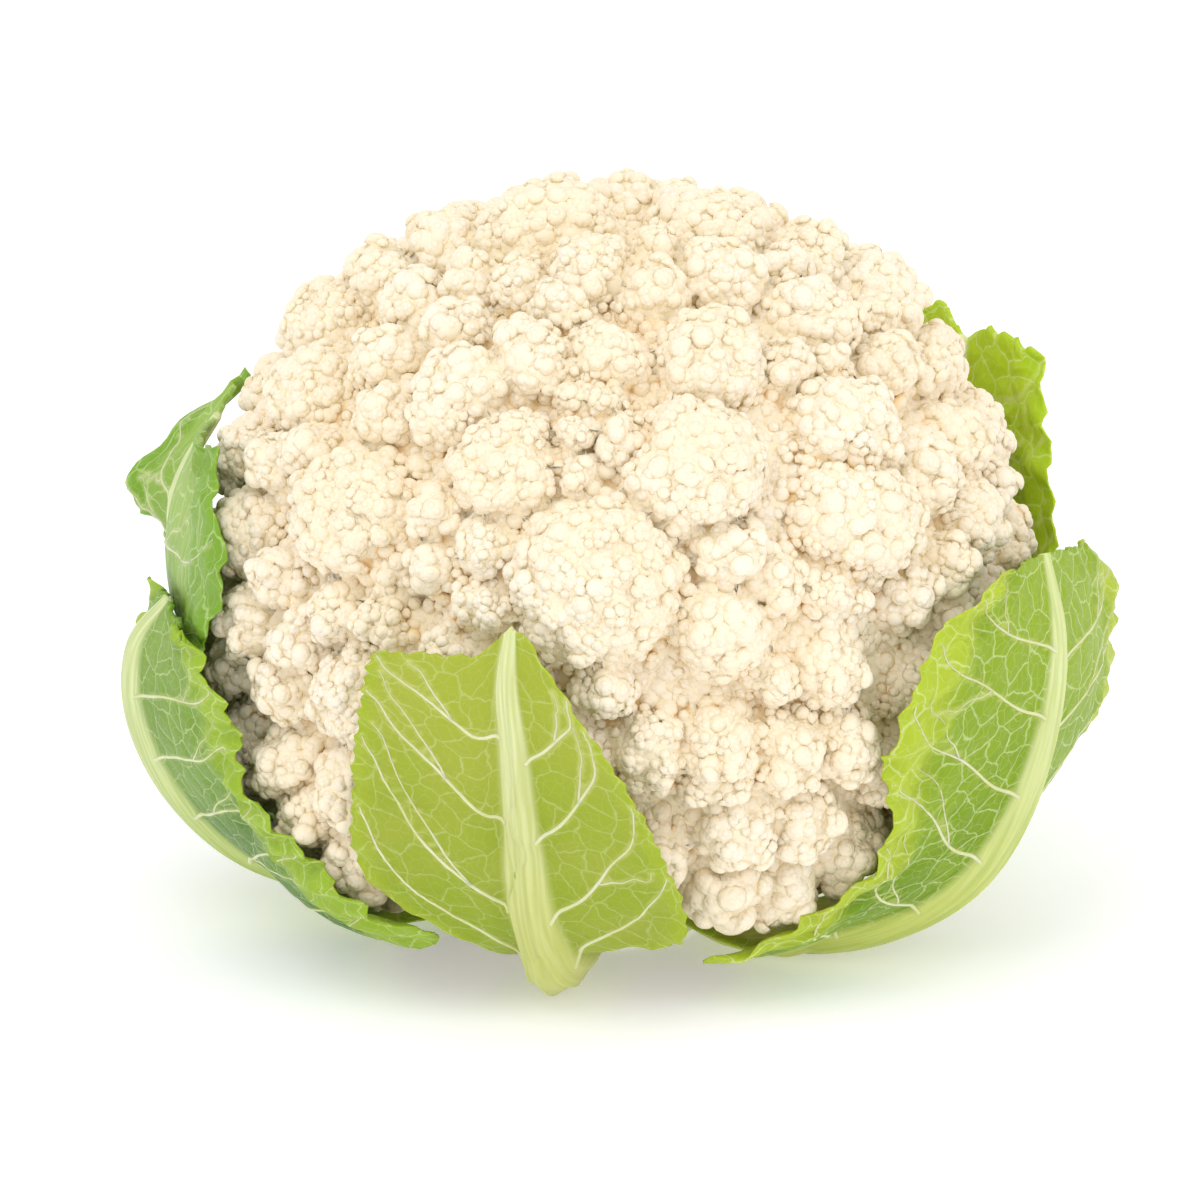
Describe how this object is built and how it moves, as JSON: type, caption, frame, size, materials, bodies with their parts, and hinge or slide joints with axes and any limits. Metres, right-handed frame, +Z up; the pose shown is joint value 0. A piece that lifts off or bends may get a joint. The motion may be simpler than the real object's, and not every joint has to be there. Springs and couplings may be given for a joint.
{
  "type": "cauliflower",
  "caption": "Trimmed head of cauliflower that stands on its cut stem, with a lobed cream curd cupped by cut green wrapper leaves.",
  "frame": {"origin": "centre of the cut face of the stem, which is also the lowest plane of the part", "axes": "+Z up through the crown of the curd, -Y towards the broad front leaf, +X towards the large right leaf"},
  "size_m": [0.199, 0.1945, 0.1548],
  "materials": {
    "curd": "cream curd tissue, matte and slightly translucent, warmer in its creases",
    "stem": "pale green stem tissue, moist cut face",
    "leaf": "waxy green leaf with a pale midrib and raised veins"
  },
  "bodies": {
    "root": {"curd": "curd", "stem": "stem", "leaf_front": "leaf", "leaf_right": "leaf", "leaf_right_back": "leaf", "leaf_back_right": "leaf", "leaf_back_left": "leaf", "leaf_left_back": "leaf", "leaf_left": "leaf"}
  },
  "joints": []
}
